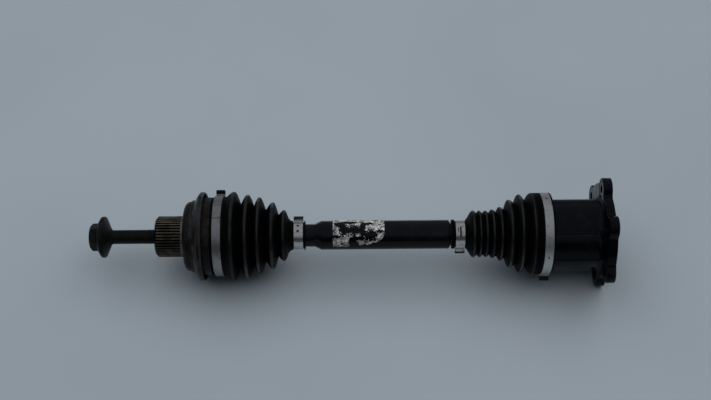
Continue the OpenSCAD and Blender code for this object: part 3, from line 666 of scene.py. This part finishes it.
def stainless(name, node, tone, rough, darker_from, slots=()):
    """Rolled stainless strip with fine lines, dents and patches of dirt, and darker from a radius on, where
    its ear rises.

    The slots that its hooks sit in are painted dark as painted shade, given as (start and end across the
    strip, lowest and highest angle).
    """
    bright, grime_and_shade = (tone, tone * 0.985, tone * 0.95, 1), (0.06 * tone, 0.055 * tone, 0.05 * tone, 1)
    strip_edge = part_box(node)[0].x
    strip, shader, place = new_finish(name, {"Metallic": 1.0})
    along = place.axis(0)
    turn = place.math("ARCTAN2", place.axis(1), place.axis(2))
    lines = grain(place, 900, 3, (5, 0.25, 0.25))
    dents = grain(place, 110, 2, (0.6, 1.6, 1.6))
    # From the given radius on, over the ear, the strip is painted darker.
    on_ear = off_axis(place).between(darker_from * mm, (darker_from + 1) * mm)
    # dirt holds patches of grime, the darkening over the ear, and below the painted shade of the slots.
    dirt = 0.4 * grain(place, 240, 6).between(0.45, 0.75) + on_ear
    # Painted shade: each slot is painted dark where its hollow would lie in shade.
    for start, end, low_turn, high_turn in slots:
        across = along.band(strip_edge + start * mm, strip_edge + end * mm, 0.2 * mm)
        dirt = dirt + across * turn.band(radians(low_turn), radians(high_turn), radians(1))
    shade = dirt.between(0, 1)
    shade.tint(bright, grime_and_shade).feeds(shader, "Base Color")
    (rough + 0.1 * lines + 0.2 * shade).feeds(shader, "Roughness")
    (0.3 * lines + dents).raises(shader, 0.35, 0.35 * mm)
    return strip


dull_strip = stainless("dull_strip", "outer_large_clamp", tone=0.36, rough=0.36,
                       darker_from=bell_collar_r + 2.4)
outer_small_strip = stainless("outer_small_strip", "outer_small_clamp", tone=0.66, rough=0.22, darker_from=17,
                              slots=[(3.6, 6.0, 1, 10), (3.6, 6.0, -23, -14)])
clamp("outer_large_clamp", "bell", dull_strip,
      r=bell_collar_r + band_fit, ear_turn=60, lap=-70, ear_h=5.6)
clamp("outer_small_clamp", "shaft", outer_small_strip,
      r=small_band_r, ear_turn=45, lap=-70, ear_h=4.6)


# Tripod joint's inside: a spider on the bar's end with three trunnions, each with a roller on needles.
# All hardened and ground steel under grease, with spring clips that keep them in place.

dress(ground_steel, "tripod_spider")
dress(spring_wire, "spider_circlip")
for trunnion in (1, 2, 3):
    dress(ground_steel, f"roller_{trunnion}", f"needles_{trunnion}")
    dress(spring_wire, f"roller_clip_{trunnion}")


# Tripod housing: a forging with three lobes over the rollers' tracks and a scalloped flange with holes.
# Sprayed gloss black over the forged skin and over the flats that are cut round the holes.

hub_x = joint_x["tulip_swing_vertical"]
mouth_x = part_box("tulip_housing")[0].x / mm
seat_r, seat_end = 38.2, mouth_x + 18
lobe_r, lobe_fillet = 35.5, 6
valley_r, valley_off, valley_round, valley_edge = 23.21, 49.88, 8, 2.2
flange_back = -9.2
fillet_start = flange_back - valley_round
mouth_bevel, seat_bevel, cap_bevel = 0.6, 0.8, 0.6
back_round, back_middle = 1.1, 0.35
face_round, face_middle = 0.9, 0.25
hole_circle_r, hole_r, spot_r, spot_depth = 47, 4.25, 8.5, 0.25
ear_r, ear_fillet, waist_r, saddle_r = 11, 6, 44.5, 50
track_r, track_off, hollow_r, land_r = 15.2, 21.5, 31.5, 19
flare_x, flare_r = hub_x - 4, 32
cap_seat_r, cap_seat = 33.05, 5
housing_sides = 540
body_rows, body_row_gap = 6, 7.6
flare_rows = 4
bolt_holes = 6
drill_len = 30
bore_weld = 0.004


def runs_up(x, wall_x, radius):
    """How far a rounding up to a wall has risen at x."""
    into = min(max(x - wall_x + radius, 0), radius)
    return radius - sqrt(radius * radius - into * into)


def smooth_least(a, b, width):
    """The lesser of two numbers, rounded where they are close."""
    near = max(width - abs(a - b), 0) / width
    return min(a, b) - near * near * width / 4


def body_r(x, turn):
    """Outside of the lobes and of the valleys between them."""
    lobe = lobe_r + runs_up(x, flange_back, lobe_fillet)
    valley = valley_r - runs_up(x, flange_back, valley_round)
    off = radians(turn % 120 - 60)
    reach = valley * valley - (valley_off * sin(off)) ** 2
    return smooth_least(lobe, valley_off * cos(off) - sqrt(reach), valley_edge) if reach > 0 else lobe


def rim_r(turn):
    """Edge of the flange: ears round the holes, each rounded into a waist and a saddle."""
    off = abs(radians(turn % 60 - 30))
    base = saddle_r if round(turn / 60) % 2 else waist_r
    reach, span = base + ear_fillet, ear_r + ear_fillet
    swing = acos((reach ** 2 + hole_circle_r ** 2 - span ** 2) / (2 * reach * hole_circle_r))
    touch_out = hole_circle_r + (reach * cos(swing) - hole_circle_r) * ear_r / span
    if off <= atan2(reach * sin(swing) * ear_r / span, touch_out):
        return hole_circle_r * cos(off) + sqrt(ear_r ** 2 - (hole_circle_r * sin(off)) ** 2)
    if off < swing:
        return reach * cos(swing - off) - sqrt(ear_fillet ** 2 - (reach * sin(swing - off)) ** 2)
    return base


def inside_r(x, turn):
    """Tracks for the rollers and the lands between them, flared at the mouth."""
    off = radians((turn + 60) % 120 - 60)
    reach = track_r ** 2 - (track_off * sin(off)) ** 2
    track = track_off * cos(off) + sqrt(reach) if reach > 0 else land_r
    flare = land_r + (flare_r - land_r) * (flare_x - x) / (flare_x - mouth_x)
    return max(land_r, min(track, hollow_r), flare)


def housing_outline(turn):
    """Section of the housing at one angle: mouth, seat, body, flange and hollow."""
    rim = rim_r(turn)
    body_stops = [seat_end + row * body_row_gap for row in range(body_rows)]
    body_stops += [fillet_start + valley_round * sin(radians(angle)) for angle in range(0, 91, 9)]
    hollow_stops = [-cap_seat, (flare_x - cap_seat) / 2]
    hollow_stops += [flare_x + (mouth_x - flare_x) * row / flare_rows for row in range(flare_rows + 1)]
    section = [(mouth_x, seat_r - mouth_bevel), (mouth_x + mouth_bevel, seat_r),
               (seat_end - seat_bevel, seat_r), (seat_end, seat_r - seat_bevel)]
    section += [(x, body_r(x, turn)) for x in body_stops]
    section += [(flange_back, rim - back_round), (flange_back + back_middle, rim - back_middle),
                (flange_back + back_round, rim), (-face_round, rim), (-face_middle, rim - face_middle),
                (0, rim - face_round), (0, cap_seat_r + cap_bevel), (-cap_bevel, cap_seat_r),
                (-cap_seat, cap_seat_r)]
    section += [(x, inside_r(x, turn)) for x in hollow_stops]
    return [(x, r, 0) for x, r in section]


def drill_tree():
    """Holes on a circle through the flange, each with a flat cut round it on the back."""
    tree, given = new_tree("bolt_holes", {
        "Holes": "Int", "Circle": "Float", "Hole": "Float", "Spot": "Float", "Spot floor": "Float",
        "Finish": "Material"})
    host = given["Host"]
    bored = host
    circle = host.node("GeometryNodeMeshCircle", {},
                       {"Vertices": given["Holes"], "Radius": given["Circle"]})
    reach = drill_len * mm
    for radius, top in ((given["Hole"], reach / 2), (given["Spot"], given["Spot floor"])):
        drill = host.node("GeometryNodeMeshCylinder", {},
                          {"Vertices": 64, "Radius": radius, "Depth": reach})
        depth = host.node("ShaderNodeCombineXYZ", {}, {"Z": top - reach / 2})
        sunk = host.node("GeometryNodeTransform", {}, {"Geometry": drill, "Translation": depth})
        drills = host.node("GeometryNodeInstanceOnPoints", {}, {"Points": circle, "Instance": sunk})
        shared = host.node("GeometryNodeTransform", {}, {"Geometry": drills, "Rotation": (0, 0, pi / 6)})
        facing = host.node("GeometryNodeTransform", {}, {"Geometry": shared, "Rotation": (0, pi / 2, 0)})
        bored = host.node("GeometryNodeMeshBoolean", {"operation": "DIFFERENCE", "solver": "EXACT"},
                          {"Mesh 1": bored, "Mesh 2": facing})
    merged = host.node("GeometryNodeMergeByDistance", {}, {"Geometry": bored, "Distance": bore_weld * mm})
    end_tree(merged, given["Finish"])
    return tree


housing_paint = gloss_black("housing_paint", gloss=0.11, dust_share=0.4)
plain_housing = ring_piece("plain_housing", housing_outline, housing_sides, housing_paint)
housing_mesh = plain_housing.data
bpy.data.objects.remove(plain_housing)
housing = grow("housing", drill_tree(), housing_mesh, {
    "Holes": bolt_holes, "Circle": hole_circle_r * mm, "Hole": hole_r * mm, "Spot": spot_r * mm,
    "Spot floor": (flange_back + spot_depth) * mm, "Finish": housing_paint}, smooth_angle=28)
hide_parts("tulip_housing")
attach(housing, "tulip")


# Grease cap: a shallow cup of zinc-plated sheet steel that closes the housing.
# It is pressed into the flange's face, and its plating is cloudy and dirty.


def zinc_sheet():
    """Zinc plating with grey clouds and brown dirt."""
    light_zinc, grey_zinc = (0.42, 0.42, 0.41, 1), (0.30, 0.30, 0.285, 1)
    dirt_brown = (0.08, 0.072, 0.06, 1)
    zinc, shader, place = new_finish("zinc_sheet", {"Metallic": 1.0})
    cloud = grain(place, 90, 6).between(0.35, 0.7)
    dirt = grain(place, 40, 7).between(0.5, 0.75)
    (0.7 * dirt).tint(cloud.tint(light_zinc, grey_zinc), dirt_brown).feeds(shader, "Base Color")
    (0.28 + 0.12 * cloud + 0.25 * dirt).feeds(shader, "Roughness")
    (grain(place, 900, 3) + cloud).raises(shader, 0.1, 0.1 * mm)
    return zinc


dress(zinc_sheet(), "grease_cap")


# Inner boot: a longer bellows of the same rubber on the tripod housing, with ribs on its large collar.
# Made as closed rings, cut one after another along its length.

housing_collar_r = 40.6
housing_bore = 38.25
housing_band_r = housing_collar_r - 0.7
# Turns of the folds as (distance from the joint's centre, radius)
inner_turns = [(34, housing_collar_r), (40.8, 33), (46.5, 39.2), (51.2, 30.6), (56.5, 34), (61.4, 24),
               (65.3, 27), (69.2, 22), (73, 24.4), (76.4, 20.9), (79.6, 23.3), (82.7, 20.6), (85.9, 23.4),
               (88.6, 20.8), (92, 23.5), (98.4, 15.6)]
inner_small_band = 100
inner_bodies = ["tulip", "inner_boot", "roller_1", "shaft"]
inner_bend_start, inner_bend_end = 38, 66
rib_count, rib_depth, rib_pitch, rib_edge = 3, 0.7, 1.6, 0.4

band_low, band_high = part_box("inner_large_clamp")
groove_start = hub_x - band_high.x / mm - groove_gap
groove_end = hub_x - band_low.x / mm + groove_gap
collar_edges = [(groove_start - 0.9, housing_collar_r - 0.5), (groove_start - 0.4, housing_collar_r),
                (groove_start, housing_collar_r), (groove_start, housing_band_r),
                (groove_end, housing_band_r), (groove_end, housing_collar_r)]
for rib in range(rib_count):
    valley = groove_end + 2 * rib_edge + rib_pitch * rib
    collar_edges += [(valley, housing_collar_r), (valley + rib_edge, housing_collar_r - rib_depth),
                     (valley + 2 * rib_edge, housing_collar_r - rib_depth),
                     (valley + 3 * rib_edge, housing_collar_r)]
inner_line = [(distance, r, housing_bore, 0) for distance, r in collar_edges]
inner_line += bellows(inner_turns) + small_collar(inner_small_band, run=1, lip=3.2)
# The rings are cut at two crests.
inner_cuts = [inner_turns[crest][0] for crest in (2, 4)]
inner_rubber = boot_rubber("inner_rubber", greasy_start=hub_x - 94, greasy_end=hub_x - 44)
boot_rings("inner_boot", hub_x, -1, inner_line, inner_bodies,
           [inner_bend_start, *inner_cuts, inner_bend_end], inner_rubber)


# Inner boot's clamps: the same kind of stainless strip, both still bright.
# Each is drawn tight by its ear, which lies low on the near side.

inner_small_strip = stainless("inner_small_strip", "inner_small_clamp", tone=0.66, rough=0.22, darker_from=17,
                              slots=[(4.6, 6.2, -50, -4), (2.5, 3.3, -30, -8)])
inner_large_strip = stainless("inner_large_strip", "inner_large_clamp", tone=0.62, rough=0.40, darker_from=42,
                              slots=[(4.0, 5.4, 20, 23), (4.0, 5.4, -73, -70)])
clamp("inner_small_clamp", "shaft", inner_small_strip,
      r=small_band_r, ear_turn=-133, lap=-70, ear_h=4.6)
clamp("inner_large_clamp", "tulip", inner_large_strip,
      r=housing_band_r + band_fit, ear_turn=-125, lap=130, ear_h=5.6)


# Stage: a plain pale board that the axle lies on, touching it with the flange and the dust ring.
# A soft light stands above and behind, and the camera looks down from the near side. All is in metres.

ring_rest = 2
flange_low, ring_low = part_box("tulip_housing")[0].z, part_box("dust_ring")[0].z
flange_x, ring_x = flange_back / 2 * mm, (ring_end - ring_rest) * mm
board_tilt = atan2(flange_low - ring_low, flange_x - ring_x)
board_size = 8.0


def board_finish():
    """Smooth board of a pale grey blue, a little uneven in tone."""
    shade_blue, pale_blue = (0.232, 0.268, 0.298, 1), (0.254, 0.292, 0.324, 1)
    board, shader, place = new_finish("pale_board", {"Specular IOR Level": 0.25})
    tone = grain(place, 3, 3).between(0.2, 0.8)
    tone.tint(shade_blue, pale_blue).feeds(shader, "Base Color")
    (0.38 + 0.1 * tone).feeds(shader, "Roughness")
    return board


board_mesh = bmesh.new()
bmesh.ops.create_grid(board_mesh, x_segments=1, y_segments=1, size=board_size / 2)
laid_flat = Matrix.Translation((ring_x, 0, ring_low)) @ Matrix.Rotation(-board_tilt, 4, "Y")
bmesh.ops.transform(board_mesh, matrix=laid_flat, verts=board_mesh.verts)
board = new_piece("board", board_mesh, board_finish())

axle_middle = Vector((-0.25, 0, 0))
key = bpy.data.lights.new("key", "AREA")
key.shape = "RECTANGLE"
key.size = 4.0
key.size_y = 3.4
key.energy = 70
key_lamp = bpy.data.objects.new("key", key)
bpy.context.scene.collection.objects.link(key_lamp)
key_lamp.location = (-0.25, 0.45, 1.8)
key_lamp.rotation_euler = (axle_middle - key_lamp.location).to_track_quat("-Z", "Y").to_euler()
key_lamp.visible_glossy = False

wall_tone, ceiling_tone = (0.03, 0.031, 0.033, 1), (0.27, 0.29, 0.32, 1)
backdrop = (0.30, 0.34, 0.38, 1)
world = bpy.data.worlds.new("room")
bpy.context.scene.world = world
world.use_nodes = True
room = world.node_tree
sky = Signal(room).node("ShaderNodeTexCoord", {}, {}, "Generated")
ceiling = (sky.axis(2) + 0.25 * sky.axis(1)).between(0.2, 0.7)
seen_by_camera = Signal(room).node("ShaderNodeLightPath", {}, {}, "Is Camera Ray")
light = ceiling.tint(wall_tone, ceiling_tone)
seen_by_camera.tint(light, backdrop).feeds(room.nodes["Background"], "Color")

# The photograph has about a millimetre to the pixel, so the focal length in pixels is the distance in mm.
photo_w = 711
focal_px = 1100
look_down = radians(52)
look = Vector((0, cos(look_down), -sin(look_down)))
up = Vector((0, sin(look_down), cos(look_down)))
camera_distance = focal_px * mm
camera_x, camera_rise = -0.251, 0.035
camera_roll = radians(0.5)
camera_data = bpy.data.cameras.new("camera")
camera_data.sensor_width = 36
camera_data.lens = camera_data.sensor_width * focal_px / photo_w
camera = bpy.data.objects.new("camera", camera_data)
bpy.context.scene.collection.objects.link(camera)
bpy.context.scene.camera = camera
camera.location = Vector((camera_x, 0, 0)) + camera_rise * up - camera_distance * look
camera.rotation_euler = (look.to_track_quat("-Z", "Y") @ Quaternion((0, 0, 1), -camera_roll)).to_euler()
bpy.context.scene.view_settings.view_transform = "Standard"
